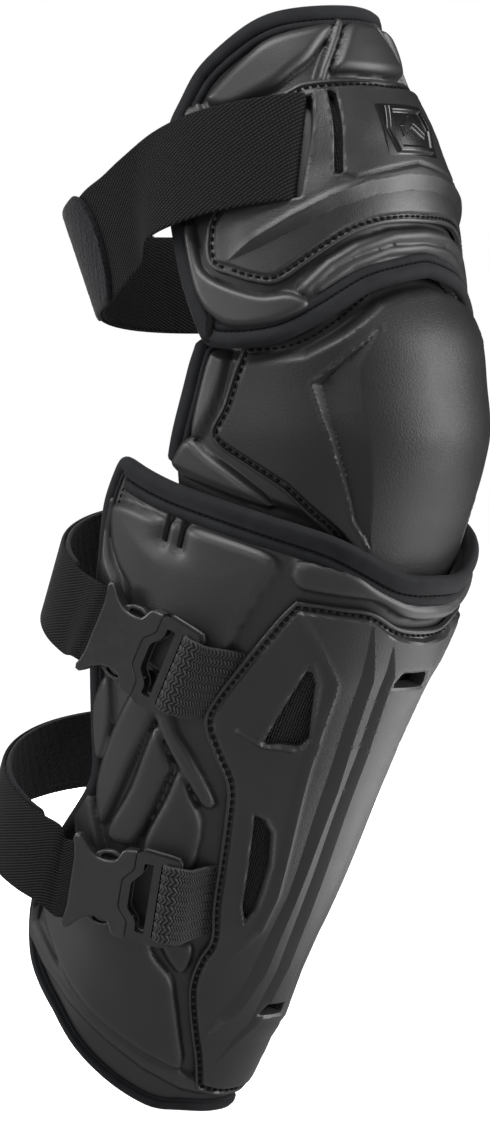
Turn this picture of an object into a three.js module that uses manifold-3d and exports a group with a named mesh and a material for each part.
// Articulated knee and shin guard for the right leg, worn for motorcycling.
// Units are millimetres. +X is forward, +Y the wearer's left, +Z up.
// The origin is the centre of the knee joint, on the leg's axis.
import * as THREE from 'three';
import { mergeVertices } from 'three/addons/utils/BufferGeometryUtils.js';
import Module from 'manifold-3d';

const wasm = await Module();
wasm.setup();

// ---------------------------------------------------------------- driving dimensions
const THIGH_TILT = -10;           // lean of the thigh section's axis from +Z, degrees
const SHIN_TILT = 20;             // lean of the shin section's axis from +Z, degrees
const PAD_THICK = 7;              // moulded foam pad
const PAD_TOP = 0;                // outer face of a pad, measured from its section surface
const LINER_THICK = 1.5;
const INSERT_THICK = 2.4;         // soft impact layer behind the knee and shin pads
const LAYER_GAP = 1;              // space between layers of one section
const KNEE_EXTRA = 0.6;           // more space behind the knee pad, whose dome curves both ways
const PLATE_BASE = 2.2;           // underside of a hard plate above the section surface
const PLATE_TOP = 4.6;
const CUP_BASE = 1;
const CUP_TOP = 4;
const BINDING_WIDE = 3;           // bound edge, outside the pad's own edge
const BINDING_GAP = 0.5;
const MM_PER_DEGREE = 1.45;       // arc length of one degree round a section
const STRAP_THICK = 1.8;
const HINGE_CLEAR = 1;            // degrees between a strap's hinge and each piece it joins
const THIGH_STRAP_WIDE = 50;
const SHIN_STRAP_WIDE = 40;
const WEBBING_WIDE = 38;
const WEBBING_THICK = 1.6;
const BUCKLE_HALF = 21.5;         // half the height of a buckle at its mouth
const BUCKLE_THICK = 7;
const BUCKLE_LIFT = 9;            // buckle's middle above the shin surface
const TILE_THICK = 0.6;           // mesh backings and stitched bars
const TUCK = 6.5;                 // how far the knee section steps in below each hem
const TUCK_RUN = 6;               // height over which it steps in
const HIDDEN = 13;                // how far it runs on behind a hem
const HEM_FLARE = 2;              // a hem that laps over the knee stands out by this much
const HEM_THIN = 0.4;             // and loses this share of its thickness
const STRAP_STEP = 0.6;           // space between the layers of a strap
const COLUMNS = 20;               // grid of a panel round the leg
const ROWS = 9;                   // grid of a panel along the leg

// ---------------------------------------------------------------- leg surfaces
const PINCH_FADE = [-120, -60];   // heights over which the shin's flattened flanks round out

// A section is a tube round the leg. Each station is
// [height, front radius, half width, back radius], in the section's own axis.
class Section {
  constructor(tilt, stations, vee = 0) {
    this.tilt = THREE.MathUtils.degToRad(tilt);
    this.stations = stations;
    this.vee = vee;
  }

  size(height, column) {
    const rows = this.stations;
    const h = THREE.MathUtils.clamp(height, rows[0][0], rows.at(-1)[0]);
    let i = 0;
    while (i < rows.length - 2 && h > rows[i + 1][0]) i += 1;
    const slope = (k) => {
      const a = rows[Math.max(k - 1, 0)];
      const b = rows[Math.min(k + 1, rows.length - 1)];
      return (b[column] - a[column]) / (b[0] - a[0]);
    };
    const span = rows[i + 1][0] - rows[i][0];
    const x = (h - rows[i][0]) / span;
    const x2 = x * x;
    const x3 = x2 * x;
    return (2 * x3 - 3 * x2 + 1) * rows[i][column] + (x3 - 2 * x2 + x) * span * slope(i)
      + (3 * x2 - 2 * x3) * rows[i + 1][column] + (x3 - x2) * span * slope(i + 1);
  }

  // Point on the surface in the section's own frame: forward, left, up.
  local(degrees, height) {
    const t = THREE.MathUtils.degToRad(degrees);
    const c = Math.cos(t);
    const s = Math.sin(t);
    const depth = this.size(height, c > 0 ? 1 : 3);
    const fade = 1 - THREE.MathUtils.smoothstep(height, ...PINCH_FADE);
    const pinch = c > 0 ? this.vee * fade * Math.sin(2 * t) ** 2 : 0;
    return new THREE.Vector3((depth - pinch) * c, (pinch - this.size(height, 2)) * s, height);
  }

  toWorld(p) {
    return p.applyAxisAngle(new THREE.Vector3(0, 1, 0), this.tilt);
  }

  normal(degrees, height) {
    const round = this.local(degrees + 0.5, height).sub(this.local(degrees - 0.5, height));
    const along = this.local(degrees, height + 0.5).sub(this.local(degrees, height - 0.5));
    return this.toWorld(along.cross(round).normalize());
  }

  // Point at (degrees, height), raised from the surface by lift.
  point([degrees, height], lift = 0) {
    const base = this.toWorld(this.local(degrees, height));
    return base.addScaledVector(this.normal(degrees, height), lift);
  }
}

const thighSection = new Section(THIGH_TILT, [
  [30, 86, 91, 104], [63, 86, 88, 104], [90, 89, 83, 104], [110, 87, 78, 103], [129, 84, 72, 102],
  [150, 77, 67, 100], [170, 70, 64, 96], [190, 60, 60, 90], [205, 52, 56, 86],
]);
const kneeSection = new Section(0, [
  [-95, 60, 70, 95], [-60, 71, 73, 95], [-45, 76, 75, 95], [-30, 82, 77, 95], [-15, 87, 79, 95],
  [0, 90, 80.5, 95], [20, 88, 80, 95], [42, 85, 79, 95], [60, 76, 76, 95], [95, 54, 68, 95],
]);
const shinSection = new Section(SHIN_TILT, [
  [-345, 64, 52, 75], [-300, 72, 61, 85], [-250, 77.5, 67, 100], [-200, 84.5, 74, 118],
  [-150, 89, 78, 115], [-100, 95, 80, 110], [-60, 99, 80, 108], [-20, 103, 81, 106],
  [10, 105, 82, 105],
], 5);

// Value at x on straight runs between [x, value] pairs.
function ramp(pairs, x) {
  if (x <= pairs[0][0]) return pairs[0][1];
  const i = pairs.findIndex((pair) => pair[0] >= x);
  if (i < 0) return pairs.at(-1)[1];
  const [a, b] = [pairs[i - 1], pairs[i]];
  return THREE.MathUtils.mapLinear(x, a[0], b[0], a[1], b[1]);
}

// Where the thigh's lower hem and the shin's upper hem cross the knee section.
const THIGH_HEM = [[0, 70], [13, 68], [25, 63], [40, 50], [53, 40], [66, 37], [80, 38], [90, 46]];
const SHIN_HEM = [[0, -66], [16, -65], [28, -56], [44, -46], [69, -34], [86, -26], [102, -17]];

// The knee section steps inwards under both hems, so that its neighbours slide over it.
function kneeLift(lift) {
  return (degrees, height) => {
    const t = Math.abs(degrees);
    const over = (height - ramp(THIGH_HEM, t) + TUCK_RUN) / TUCK_RUN;
    const under = (ramp(SHIN_HEM, t) + TUCK_RUN - height) / TUCK_RUN;
    const step = THREE.MathUtils.smoothstep(Math.max(over, under), 0, 1);
    return lift * (1 - 0.4 * step) - TUCK * step;
  };
}

// Rows of the knee pad, from the bottom: how far round it reaches, and its height there.
const kneeRow = (share) => (t) => THREE.MathUtils.lerp(
  ramp(SHIN_HEM, t) + TUCK_RUN,
  ramp(THIGH_HEM, t) - TUCK_RUN,
  share,
);
const kneeLevels = [
  { reach: 99, height: (t) => ramp(SHIN_HEM, t) - HIDDEN },
  { reach: 99, height: (t) => ramp(SHIN_HEM, t) },
  { reach: 98.5, height: kneeRow(0) },
  ...[1, 2, 3, 4, 5].map((k) => ({ reach: 98.5 - 1.7 * k, height: kneeRow(k / 6) })),
  { reach: 88, height: kneeRow(1) },
  { reach: 87, height: (t) => ramp(THIGH_HEM, t) },
  { reach: 86, height: (t) => ramp(THIGH_HEM, t) + HIDDEN },
];

// ---------------------------------------------------------------- panel outlines
// Each outline is one half of a panel, as [degrees from the front, height]: the lower edge and
// the upper edge run from the front line to the corner, and the side joins the two corners.
const thighPadOutline = {
  lower: [[0, 60], [13, 57], [25, 53], [40, 42], [53, 35], [66, 35], [75, 38]],
  side: [[75, 38], [82, 72], [85, 93], [88, 120], [88, 141], [83, 152]],
  upper: [[0, 184], [32, 184], [48, 182], [62, 173], [75, 162], [83, 152]],
};
const thighPlateOutline = {
  lower: [[0, 82], [10, 82], [20, 81], [30, 77], [40, 69], [52, 59], [60, 61], [67, 66]],
  side: [[67, 66], [72, 70], [74, 77], [74, 86], [72, 96], [60, 121], [48, 146]],
  upper: [[0, 151], [14, 152], [35, 152], [42, 150], [48, 146]],
};
const kneeCupOutline = {
  lower: [[0, -64], [16, -63], [28, -54], [44, -44], [52, -36], [60, -27]],
  side: [[60, -27], [72, -16], [81, -7], [83, 0], [79, 11], [76, 24], [71, 31]],
  upper: [[0, 63], [13, 61], [25, 56], [40, 43], [53, 33], [62, 30], [71, 31]],
};
const kneeInsertOutline = {
  lower: [[0, -50], [20, -48], [45, -30], [55, -22]],
  side: [[55, -22], [64, -8], [66, 6], [60, 18]],
  upper: [[0, 54], [13, 52], [25, 46], [40, 32], [60, 18]],
};
const kneeLinerOutline = {
  lower: [[0, -54], [20, -52], [45, -33], [66, -22], [88, -12]],
  side: [[88, -12], [88, 0], [84, 14], [80, 24]],
  upper: [[0, 58], [13, 56], [25, 50], [40, 36], [60, 25], [80, 24]],
};
const thighLinerOutline = {
  lower: [[0, 84], [20, 82], [40, 72], [60, 66], [78, 66]],
  side: [[78, 66], [84, 100], [86, 138], [80, 152]],
  upper: [[0, 182], [32, 181], [48, 179], [62, 170], [80, 152]],
};
const shinPadOutline = {
  lower: [[0, -324], [21, -325], [36, -327], [52, -323], [66, -316], [78, -307], [88, -296]],
  side: [[88, -296], [97, -286], [103, -274], [105, -250], [98, -215], [91, -178], [95, -150],
    [103, -110], [108, -75], [109, -42]],
  upper: [[0, -38], [16, -38], [28, -33], [44, -27], [69, -27], [95, -30], [109, -42]],
};
const shinLinerOutline = {
  lower: [[0, -318], [36, -320], [66, -308], [84, -292]],
  side: [[84, -292], [98, -268], [100, -250], [93, -215], [88, -178], [92, -150], [98, -110], [102, -78]],
  upper: [[0, -76], [40, -72], [75, -72], [102, -78]],
};
const shinPlateOutline = {
  lower: [[0, -316], [10, -316], [20, -314]],
  side: [[20, -314], [26, -297], [32, -282], [38, -262], [38, -246], [36, -234], [40, -215],
    [45, -173], [48, -156], [55, -143], [61, -130], [61, -118], [54, -86], [50, -68], [47, -58]],
  upper: [[0, -62], [12, -61], [24, -55], [36, -56], [47, -58]],
};

function smoothLine(points) {
  return new THREE.SplineCurve(points.map((p) => new THREE.Vector2(p[0], p[1])));
}

// Point of a panel: across runs -1..1 round the leg, along runs 0..1 up it.
function panelPoint(outline, across, along) {
  const u = Math.abs(across);
  const low = smoothLine(outline.lower).getPoint(u);
  const high = smoothLine(outline.upper).getPoint(u);
  const side = smoothLine(outline.side).getPoint(along);
  const corners = [outline.side[0], outline.side.at(-1)];
  const p = low.multiplyScalar(1 - along).addScaledVector(high, along);
  p.x += u * (side.x - THREE.MathUtils.lerp(corners[0][0], corners[1][0], along));
  p.y += u * (side.y - THREE.MathUtils.lerp(corners[0][1], corners[1][1], along));
  return [Math.sign(across) * p.x, p.y];
}

// The panel's edge, once round.
function panelEdge(outline, columns, rows) {
  const loop = [];
  for (let i = 0; i < columns; i += 1) loop.push(panelPoint(outline, 1 - (2 * i) / columns, 0));
  for (let j = 0; j < rows; j += 1) loop.push(panelPoint(outline, -1, j / rows));
  for (let i = 0; i < columns; i += 1) loop.push(panelPoint(outline, (2 * i) / columns - 1, 1));
  for (let j = 0; j < rows; j += 1) loop.push(panelPoint(outline, 1, 1 - j / rows));
  return loop;
}

// A closed loop pushed outwards by offset millimetres.
function growLoop(loop, offset) {
  return loop.map((p, i) => {
    const before = loop.at(i - 1);
    const after = loop[(i + 1) % loop.length];
    const run = [(after[0] - before[0]) * MM_PER_DEGREE, after[1] - before[1]];
    const length = Math.hypot(run[0], run[1]);
    return [p[0] - (offset * run[1]) / length / MM_PER_DEGREE, p[1] + (offset * run[0]) / length];
  });
}

// ---------------------------------------------------------------- closed solids
// Closed solid from a grid of inner points and a matching grid of outer points.
// With wrap, the grid's rows join end to end into a ring.
function gridSolid(inner, outer, wrap = false) {
  const rows = inner.length;
  const cols = inner[0].length;
  const points = [...inner.flat(), ...outer.flat()];
  const at = (i, j, layer) => layer * rows * cols + (i % rows) * cols + j;
  const faces = [];
  const quad = (a, b, c, d) => faces.push(a, b, c, a, c, d);
  const last = wrap ? rows : rows - 1;
  for (let i = 0; i < last; i += 1) {
    for (let j = 0; j < cols - 1; j += 1) {
      quad(at(i, j, 1), at(i + 1, j, 1), at(i + 1, j + 1, 1), at(i, j + 1, 1));
      quad(at(i, j, 0), at(i, j + 1, 0), at(i + 1, j + 1, 0), at(i + 1, j, 0));
    }
    quad(at(i, 0, 0), at(i + 1, 0, 0), at(i + 1, 0, 1), at(i, 0, 1));
    quad(at(i, cols - 1, 1), at(i + 1, cols - 1, 1), at(i + 1, cols - 1, 0), at(i, cols - 1, 0));
  }
  if (!wrap) {
    for (let j = 0; j < cols - 1; j += 1) {
      quad(at(0, j, 1), at(0, j + 1, 1), at(0, j + 1, 0), at(0, j, 0));
      quad(at(rows - 1, j, 0), at(rows - 1, j + 1, 0), at(rows - 1, j + 1, 1), at(rows - 1, j, 1));
    }
  }
  const geometry = new THREE.BufferGeometry();
  geometry.setAttribute('position', new THREE.Float32BufferAttribute(points.flatMap((p) => [...p]), 3));
  geometry.setIndex(faces);
  return faceOutwards(geometry);
}

// Turns every triangle over if the solid came out inside out.
function faceOutwards(geometry) {
  const p = geometry.attributes.position;
  const index = geometry.index.array;
  let volume = 0;
  const corner = (k) => new THREE.Vector3().fromBufferAttribute(p, index[k]);
  for (let k = 0; k < index.length; k += 3) {
    volume += corner(k).dot(corner(k + 1).cross(corner(k + 2)));
  }
  if (volume < 0) {
    for (let k = 0; k < index.length; k += 3) [index[k], index[k + 1]] = [index[k + 1], index[k]];
  }
  return geometry;
}

const evenly = (count, from, to) => Array.from(
  { length: count + 1 },
  (_, i) => THREE.MathUtils.lerp(from, to, i / count),
);
const steady = (value) => () => value;

// Panel of a section between two lifts, each a function of (degrees, height).
function panel(section, outline, base, top, columns = COLUMNS, rows = ROWS) {
  const layer = (lift) => evenly(columns, -1, 1).map((across) => evenly(rows, 0, 1).map((along) => {
    const spot = panelPoint(outline, across, along);
    return section.point(spot, lift(...spot));
  }));
  return gridSolid(layer(base), layer(top));
}

// Bound edge that runs once round a loop.
function binding(section, loop, base, top) {
  const near = growLoop(loop, BINDING_GAP);
  const far = growLoop(loop, BINDING_GAP + BINDING_WIDE);
  const layer = (lift) => near.map((spot, i) => [
    section.point(spot, lift(...spot)),
    section.point(far[i], lift(...far[i])),
  ]);
  return gridSolid(layer(base), layer(top), true);
}

// Upright prism on a section: a closed outline of [degrees, height] between two lifts.
function prism(section, outline, base, top, side = 1) {
  const flat = outline.map((p) => new THREE.Vector2(p[0], p[1]));
  if (THREE.ShapeUtils.isClockWise(flat)) flat.reverse();
  const count = flat.length;
  const points = [base, top].flatMap((lift) => flat.map((p) => section.point([side * p.x, p.y], lift)));
  const faces = [];
  THREE.ShapeUtils.triangulateShape(flat, []).forEach(([a, b, c]) => {
    faces.push(a, c, b, a + count, b + count, c + count);
  });
  for (let i = 0; i < count; i += 1) {
    const next = (i + 1) % count;
    faces.push(i, next, next + count, i, next + count, i + count);
  }
  const geometry = new THREE.BufferGeometry();
  geometry.setAttribute('position', new THREE.Float32BufferAttribute(points.flatMap((p) => [...p]), 3));
  geometry.setIndex(faces);
  return faceOutwards(geometry);
}

function solid(geometry) {
  const bare = geometry.clone();
  bare.deleteAttribute('normal');
  bare.deleteAttribute('uv');
  const merged = mergeVertices(bare, 1e-4);
  return new wasm.Manifold(new wasm.Mesh({
    numProp: 3,
    vertProperties: new Float32Array(merged.attributes.position.array),
    triVerts: new Uint32Array(merged.index.array),
  }));
}

function fromSolid(body) {
  const mesh = body.getMesh();
  const geometry = new THREE.BufferGeometry();
  geometry.setAttribute('position', new THREE.BufferAttribute(mesh.vertProperties, 3));
  geometry.setIndex(new THREE.BufferAttribute(mesh.triVerts, 1));
  return geometry;
}

const cut = (geometry, tools) => fromSolid(
  tools.reduce((body, tool) => body.subtract(solid(tool)), solid(geometry)),
);
const join = (first, second) => fromSolid(solid(first).add(solid(second)));

// ---------------------------------------------------------------- the object
const group = new THREE.Group();

const finishes = {
  foam: { color: 0x2b2a2b, roughness: 0.62 },
  plate: { color: 0x2a292a, roughness: 0.5 },
  fabric: { color: 0x17171b, roughness: 0.9 },
  elastic: { color: 0x161617, roughness: 0.85 },
  fleece: { color: 0x19191c, roughness: 0.95 },
  mesh: { color: 0x101011, roughness: 0.8 },
  buckle: { color: 0x1d1d1e, roughness: 0.35 },
  emblem: { color: 0x0e0e0f, roughness: 0.15 },
  thread: { color: 0x0b0b0b, roughness: 0.8 },
};

function add(name, geometry, finish) {
  const material = new THREE.MeshStandardMaterial({ ...finishes[finish], metalness: 0 });
  const mesh = new THREE.Mesh(geometry, material);
  mesh.name = name;
  group.add(mesh);
  return mesh;
}

// Thin four-cornered piece lying on a section: its corners run round from the lower front one.
function tile(section, corners, base, top, side) {
  const [a, b, c, d] = corners.map((p) => new THREE.Vector2(side * p[0], p[1]));
  const layer = (lift) => evenly(2, 0, 1).map((across) => evenly(4, 0, 1).map((along) => {
    const low = a.clone().lerp(b, across);
    const spot = low.lerp(d.clone().lerp(c, across), along);
    return section.point([spot.x, spot.y], lift);
  }));
  return gridSolid(layer(base), layer(top));
}

// Two mirrored copies of a tile on the foam: right is the outer side of the leg.
function addBothSides(name, section, corners, finish) {
  const base = PAD_TOP + 0.6 + (name.includes('bar_tack') ? HEM_FLARE : 0);
  add(`${name}_right`, tile(section, corners, base, base + TILE_THICK, 1), finish);
  add(`${name}_left`, tile(section, corners, base, base + TILE_THICK, -1), finish);
}

const linerTop = -PAD_THICK - LAYER_GAP;
const insertedLinerTop = linerTop - INSERT_THICK - LAYER_GAP;

// Foam thins and flares out towards the hem that laps over the knee: share is 1 at the hem.
function hemLift(lift, share) {
  return lift * (lift < 0 ? 1 - HEM_THIN * share : 1) + HEM_FLARE * share;
}

const shinLift = (lift) => (degrees, height) => hemLift(
  lift,
  THREE.MathUtils.smoothstep(height, -95, -45),
);

// Thigh section: padded shell, hard plate with its slots, badge and edge binding.
const thighLift = (lift) => (degrees, height) => {
  const start = ramp(THIGH_HEM, Math.abs(degrees)) - 14;
  return hemLift(lift, 1 - THREE.MathUtils.smoothstep(height, start, 90));
};

const strapSlot = [[36, 144], [40, 144], [49, 96], [45, 96]];
const longSlot = [[27, 144], [30, 147], [34, 105], [31, 105]];

function addThigh() {
  const foam = panel(thighSection, thighPadOutline, thighLift(-PAD_THICK), thighLift(PAD_TOP));
  add('thigh_pad', foam, 'foam');
  add('thigh_liner', panel(
    thighSection,
    thighLinerOutline,
    steady(linerTop - LINER_THICK),
    steady(linerTop),
    14,
    6,
  ), 'fabric');
  const edge = panelEdge(thighPadOutline, COLUMNS, ROWS);
  const bound = binding(thighSection, edge, thighLift(-PAD_THICK), thighLift(PAD_TOP + 1));
  add('thigh_binding', bound, 'fabric');
  const slots = [strapSlot, longSlot].flatMap((slot) => [1, -1].map(
    (side) => prism(thighSection, slot, PLATE_BASE - 4, PLATE_TOP + 6, side),
  ));
  const plate = panel(thighSection, thighPlateOutline, thighLift(PLATE_BASE), thighLift(PLATE_TOP), 16, 8);
  add('thigh_plate', cut(plate, slots), 'plate');
  addBothSides('thigh_slot_mesh', thighSection, [[30, 103], [36, 103], [31, 149], [26, 147]], 'mesh');
  const badge = [[-12, 113], [12, 113], [14, 137], [-14, 137]];
  add('thigh_badge', tile(thighSection, badge, PLATE_TOP + 1, PLATE_TOP + 2.6, 1), 'emblem');
}

// Knee section: foam pad, impact insert and the hard cup.
function addKnee() {
  const layer = (lift) => evenly(COLUMNS, -1, 1).map((across) => kneeLevels.map((level) => {
    const degrees = across * level.reach;
    const height = level.height(Math.abs(degrees));
    return kneeSection.point([degrees, height], lift(degrees, height));
  }));
  add('knee_pad', gridSolid(layer(kneeLift(-PAD_THICK)), layer(kneeLift(PAD_TOP))), 'foam');
  add('knee_cup', panel(kneeSection, kneeCupOutline, steady(CUP_BASE), steady(CUP_TOP), 16, 10), 'plate');
  add('knee_insert', panel(
    kneeSection,
    kneeInsertOutline,
    steady(linerTop - KNEE_EXTRA - INSERT_THICK),
    steady(linerTop - KNEE_EXTRA),
    12,
    8,
  ), 'fabric');
  add('knee_liner', panel(
    kneeSection,
    kneeLinerOutline,
    steady(insertedLinerTop - KNEE_EXTRA - LINER_THICK),
    steady(insertedLinerTop - KNEE_EXTRA),
    14,
    8,
  ), 'fabric');
  const rowEdge = (level, across) => {
    const degrees = across * level.reach;
    return [degrees, level.height(Math.abs(degrees))];
  };
  const [bottom, top] = [kneeLevels[0], kneeLevels.at(-1)];
  const edge = [
    ...evenly(COLUMNS, 1, -1).slice(0, -1).map((across) => rowEdge(bottom, across)),
    ...kneeLevels.slice(0, -1).map((level) => rowEdge(level, -1)),
    ...evenly(COLUMNS, -1, 1).slice(0, -1).map((across) => rowEdge(top, across)),
    ...kneeLevels.slice(1).reverse().map((level) => rowEdge(level, 1)),
  ];
  add('knee_binding', binding(kneeSection, edge, kneeLift(-PAD_THICK), kneeLift(PAD_TOP)), 'fabric');
}

// Shin section: foam pad, impact insert, hard plate with vents, and its mesh.
const upperVent = [[36, -87], [32, -96], [27, -123], [29, -128], [36, -129], [41, -131]];
const lowerVent = [[38, -165], [32, -168], [28, -174], [25, -190], [24, -214], [26, -221], [29, -213]];
const frontVent = [[-6, -82], [-8, -90], [8, -90], [6, -82]];
const lowFrontVent = [[-5, -262], [-7, -268], [7, -268], [5, -262]];

function addShin() {
  const columns = 20;
  const rows = 13;
  const foam = panel(shinSection, shinPadOutline, shinLift(-PAD_THICK), shinLift(PAD_TOP), columns, rows);
  add('shin_pad', foam, 'foam');
  const inner = panel(
    shinSection,
    shinPlateOutline,
    steady(linerTop - INSERT_THICK),
    steady(linerTop),
    10,
    12,
  );
  add('shin_insert', inner, 'fabric');
  const liner = panel(
    shinSection,
    shinLinerOutline,
    steady(insertedLinerTop - LINER_THICK),
    steady(insertedLinerTop),
    14,
    10,
  );
  add('shin_liner', liner, 'fabric');
  const edge = panelEdge(shinPadOutline, columns, rows);
  add('shin_binding', binding(shinSection, edge, shinLift(-PAD_THICK), shinLift(PAD_TOP + 1)), 'fabric');
  const vents = [upperVent, lowerVent].flatMap((vent) => [1, -1].map(
    (side) => prism(shinSection, vent, PLATE_BASE - 2, PLATE_TOP + 4, side),
  ));
  vents.push(prism(shinSection, frontVent, PLATE_BASE - 2, PLATE_TOP + 4));
  vents.push(prism(shinSection, lowFrontVent, PLATE_BASE - 2, PLATE_TOP + 4));
  const plate = panel(shinSection, shinPlateOutline, shinLift(PLATE_BASE), shinLift(PLATE_TOP), 16, 16);
  add('shin_plate', cut(plate, vents), 'plate');
  addBothSides('upper_vent_mesh', shinSection, [[26, -131], [42, -133], [37, -84], [31, -92]], 'mesh');
  addBothSides('lower_vent_mesh', shinSection, [[23, -222], [31, -216], [39, -162], [28, -170]], 'mesh');
}

// Stitched bars that hold the knee section to its neighbours at each side.
function addBarTacks() {
  addBothSides('upper_bar_tack', thighSection, [[73, 40], [77, 41], [75, 49], [71, 49]], 'thread');
  [82, 87].forEach((t, i) => {
    const bar = [[t, -53], [t + 2.4, -53], [t + 3, -38], [t + 0.6, -38]];
    addBothSides(`lower_bar_tack_${i + 1}`, shinSection, bar, 'thread');
  });
}

// ---------------------------------------------------------------- straps
// A strap follows a loop of its own: an oval with a centre, a reach in front, at the near side,
// at the back and at the far side. It swings open about its hinge. Its heights are pairs of
// [degrees, height] along it.
function strapPoint(section, loop, degrees, across, lift) {
  const t = THREE.MathUtils.degToRad(degrees);
  const c = Math.cos(t);
  const s = Math.sin(t);
  const reach = c > 0 ? loop.front : loop.back;
  const half = s > 0 ? loop.near : loop.far;
  const out = new THREE.Vector3(c / reach, -s / half, 0).normalize();
  const p = new THREE.Vector3(loop.centre + reach * c, -half * s, ramp(loop.heights, degrees));
  p.addScaledVector(out, lift + across * ramp(loop.lean, degrees));
  p.z += across * loop.wide;
  return section.toWorld(p);
}

function strap(section, loop, from, to, steps, base, top) {
  const layer = (lift) => evenly(steps, from, to).map(
    (degrees) => [-0.5, 0.5].map((across) => strapPoint(section, loop, degrees, across, lift)),
  );
  return gridSolid(layer(base), layer(top));
}

// The sewn end of a strap: from its hinge down to the pad, over the given degrees, where it
// lies at the given rest lift.
function anchor(section, loop, lift, spots, rest) {
  const wide = loop.wide - 2;
  const layer = (rise) => [
    [-0.5, 0.5].map((across) => strapPoint(section, loop, loop.hinge + HINGE_CLEAR, across, lift + rise)),
    ...spots.map((degrees) => [-0.5, 0.5].map((across) => section.point(
      [degrees, ramp(loop.heights, loop.hinge) + across * wide],
      rest + rise,
    ))),
  ];
  return gridSolid(layer(0), layer(STRAP_THICK));
}

const level = [[0, 0], [360, 0]];
const thighLoop = {
  centre: 0,
  front: 90,
  near: 83,
  back: 91,
  far: 90,
  wide: THIGH_STRAP_WIDE,
  hinge: 270,
  heights: [[40, 120], [70, 118.5], [85, 116], [95, 110], [105, 102], [125, 95], [200, 88], [270, 82]],
  lean: [[60, 0], [100, 4], [120, 10], [200, 8], [262, 0]],
};
const upperLoop = {
  centre: -25,
  front: 80,
  near: 92,
  back: 58,
  far: 84.5,
  wide: SHIN_STRAP_WIDE,
  hinge: 276,
  heights: [[80, -103], [180, -90], [270, -86]],
  lean: level,
};
const lowerLoop = {
  centre: -20,
  front: 65,
  near: 92,
  back: 64,
  far: 81,
  wide: SHIN_STRAP_WIDE,
  hinge: 259,
  heights: [[64, -221], [90, -217], [200, -199], [270, -194]],
  lean: level,
};

// The thigh strap: elastic out of the plate's slot, and a far half whose fleece tab sticks to it.
function addThighStrap() {
  const loop = thighLoop;
  const front = [48, 62, 76, 90];
  const lifts = [PLATE_TOP + 1, 8, 8.5, 8.5];
  const spots = front.map((degrees, i) => [-0.5, 0.5].map((across) => {
    const t = degrees - 9 * across * (i === 0 ? 1 : 0);
    const height = ramp(loop.heights, degrees) + across * loop.wide;
    return [0, STRAP_THICK].map((rise) => thighSection.point([t, height], lifts[i] + rise));
  }));
  const round = evenly(9, 100, 196).map((degrees) => [-0.5, 0.5].map(
    (across) => [0, STRAP_THICK].map((rise) => strapPoint(thighSection, loop, degrees, across, rise)),
  ));
  const layer = (k) => [...spots, ...round].map((row) => row.map((pair) => pair[k]));
  add('thigh_strap', gridSolid(layer(0), layer(1)), 'elastic');
  const outer = STRAP_THICK + STRAP_STEP;
  add('thigh_strap_tab', strap(thighSection, loop, 118, 150, 5, outer, outer + STRAP_THICK), 'fleece');
  add('thigh_far_strap', strap(
    thighSection,
    loop,
    150.6,
    loop.hinge - HINGE_CLEAR,
    14,
    outer,
    outer + STRAP_THICK,
  ), 'elastic');
  add('thigh_strap_anchor', anchor(thighSection, loop, outer, [-85, -78], 3.8), 'elastic');
}

// ---------------------------------------------------------------- side-release buckles
// A buckle's own frame: x forward along the strap, y up the shin, z away from the leg.
// Its origin is the line where the two halves meet.
function buckleFrame(degrees, height, turn, yaw) {
  const section = shinSection;
  const forward = section.point([degrees - 0.5, height])
    .sub(section.point([degrees + 0.5, height]))
    .normalize();
  const axis = section.toWorld(new THREE.Vector3(0, 0, 1));
  const up = axis.clone().addScaledVector(forward, -axis.dot(forward)).normalize();
  const out = forward.clone().cross(up);
  const basis = new THREE.Matrix4().makeBasis(forward, up, out);
  basis.multiply(new THREE.Matrix4().makeRotationY(-THREE.MathUtils.degToRad(yaw)));
  basis.multiply(new THREE.Matrix4().makeRotationZ(THREE.MathUtils.degToRad(turn)));
  basis.setPosition(section.point([degrees, height], BUCKLE_LIFT));
  return basis;
}

function slab(points, low, high) {
  const shape = new THREE.Shape(points.map((p) => new THREE.Vector2(p[0], p[1])));
  return new THREE.ExtrudeGeometry(shape, { depth: high - low, bevelEnabled: false }).translate(0, 0, low);
}

const mirrored = (points) => [...points, ...points.map((p) => [p[0], -p[1]]).reverse()];
const SOCKET_REAR = -30;
const FRAME_FRONT = 19;
const PRONG_LOW = -1.7;
const PRONG_HIGH = 0.8;

function socketGeometry() {
  const outline = mirrored([
    [SOCKET_REAR, 19], [-27, 20.5], [-23, 20], [-20, 16.5],
    [-14, 14.5], [-9, 16], [-6.5, 20.5], [-1, BUCKLE_HALF],
  ]);
  const half = BUCKLE_THICK / 2;
  const body = slab(outline, -half, half);
  const cavity = slab([[-25, -18.7], [2, -18.7], [2, 18.7], [-25, 18.7]], -half + 1.3, half - 0.9);
  return cut(body, [cavity]);
}

function frameGeometry() {
  const half = BUCKLE_THICK / 2;
  const ring = slab([[2.2, -20.5], [FRAME_FRONT, -20], [FRAME_FRONT, 20], [2.2, 20.5]], -half, half);
  const curved = slab([[5, -17], [8.8, -17], [8.8, 17], [5, 17], [3.6, 9], [3.6, -9]], -half - 1, half + 1);
  const slot = slab([[11.2, -19.2], [15.8, -19.2], [15.8, 19.2], [11.2, 19.2]], -half - 1, half + 1);
  const tongue = slab([[-14, -2.5], [2.6, -3.5], [2.6, 3.5], [-14, 2.5]], PRONG_LOW, PRONG_HIGH);
  return join(cut(ring, [curved, slot]), tongue);
}

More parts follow.
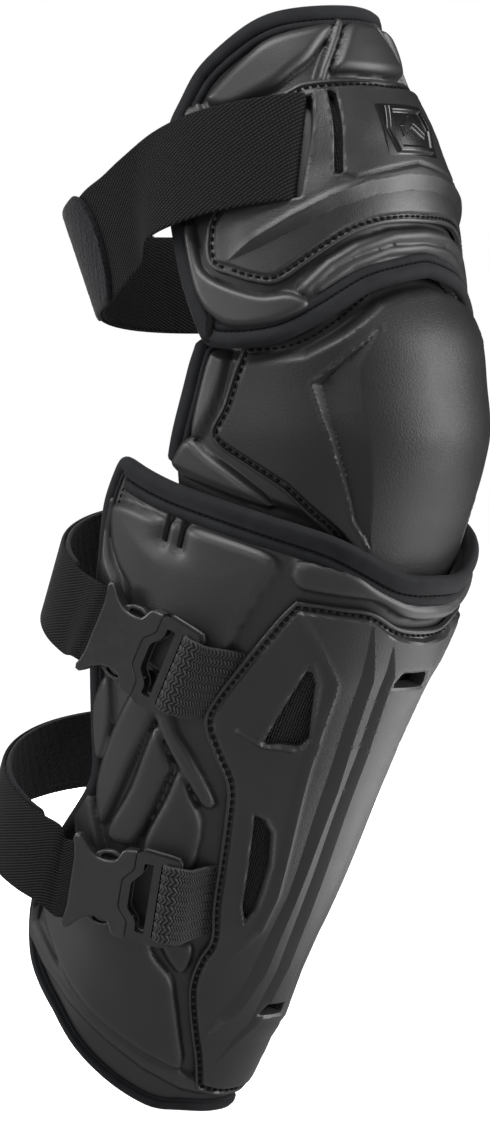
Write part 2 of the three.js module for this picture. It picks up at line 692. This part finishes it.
function prongGeometry(side) {
  const outline = [
    [1.6, 10], [-6, 10.6], [-9, 9.6], [-13, 9], [-17, 9.6], [-21, 12], [-20.5, 15],
    [-17, 17.4], [-13, 18], [-9, 17.2], [-7, 14.6], [1.6, 13.5],
  ].map((p) => [p[0], side * p[1]]);
  const eye = new THREE.CylinderGeometry(2.6, 2.6, BUCKLE_THICK, 12).rotateX(Math.PI / 2);
  return cut(slab(outline, PRONG_LOW, PRONG_HIGH), [eye.translate(-13, side * 13.5, 0)]);
}

function webbingGeometry() {
  const path = [[13.5, -4], [13.5, 3], [15, 5.2], [20, 5.2], [26, 0], [31, -5.5]];
  const curve = smoothLine(path);
  const spots = curve.getSpacedPoints(12);
  const side = (shift) => spots.map((p, i) => {
    const tangent = curve.getTangentAt(i / 12);
    return [p.x - tangent.y * shift, p.y + tangent.x * shift];
  });
  const outline = [...side(WEBBING_THICK / 2), ...side(-WEBBING_THICK / 2).reverse()];
  const wide = WEBBING_WIDE / 2;
  return slab(outline, -wide, wide).rotateX(Math.PI / 2);
}

// Elastic from the socket's rear bar to the loop, then round the calf to the far hinge.
function shinElastic(frame, loop, joinDegrees, base, top, steps, end) {
  const rear = (x, lift) => [-0.5, 0.5].map(
    (across) => new THREE.Vector3(x, across * (SHIN_STRAP_WIDE - 2), lift).applyMatrix4(frame),
  );
  const layer = (lift) => [
    rear(SOCKET_REAR - 0.6, lift),
    rear(SOCKET_REAR - 6, lift),
    ...evenly(steps, joinDegrees, end).map(
      (degrees) => [-0.5, 0.5].map((across) => strapPoint(shinSection, loop, degrees, across, lift)),
    ),
  ];
  return gridSolid(layer(base), layer(top));
}

function addShinStrap(name, loop, spot, joinDegrees) {
  const frame = buckleFrame(...spot);
  const place = (geometry) => geometry.applyMatrix4(frame);
  add(`${name}_buckle_socket`, place(socketGeometry()), 'buckle');
  add(`${name}_buckle_frame`, place(frameGeometry()), 'buckle');
  add(`${name}_prong_top`, place(prongGeometry(1)), 'buckle');
  add(`${name}_prong_bottom`, place(prongGeometry(-1)), 'buckle');
  add(`${name}_webbing`, place(webbingGeometry()), 'fabric');
  const end = loop.hinge - HINGE_CLEAR;
  add(`${name}_elastic`, shinElastic(frame, loop, joinDegrees, 0, STRAP_THICK, 16, end), 'elastic');
  const inside = -STRAP_STEP;
  add(`${name}_fleece`, strap(
    shinSection,
    loop,
    joinDegrees + 8,
    loop.hinge - 16,
    14,
    inside - STRAP_THICK,
    inside,
  ), 'fleece');
  add(`${name}_strap_anchor`, anchor(shinSection, loop, 0, [-97, -87], 1.6), 'elastic');
}

addThigh();
addKnee();
addShin();
addBarTacks();
addThighStrap();
addShinStrap('upper', upperLoop, [80, -104.5, -6.8, 0], 92);
addShinStrap('lower', lowerLoop, [67, -218, 7, 4.7], 76);

export default group;
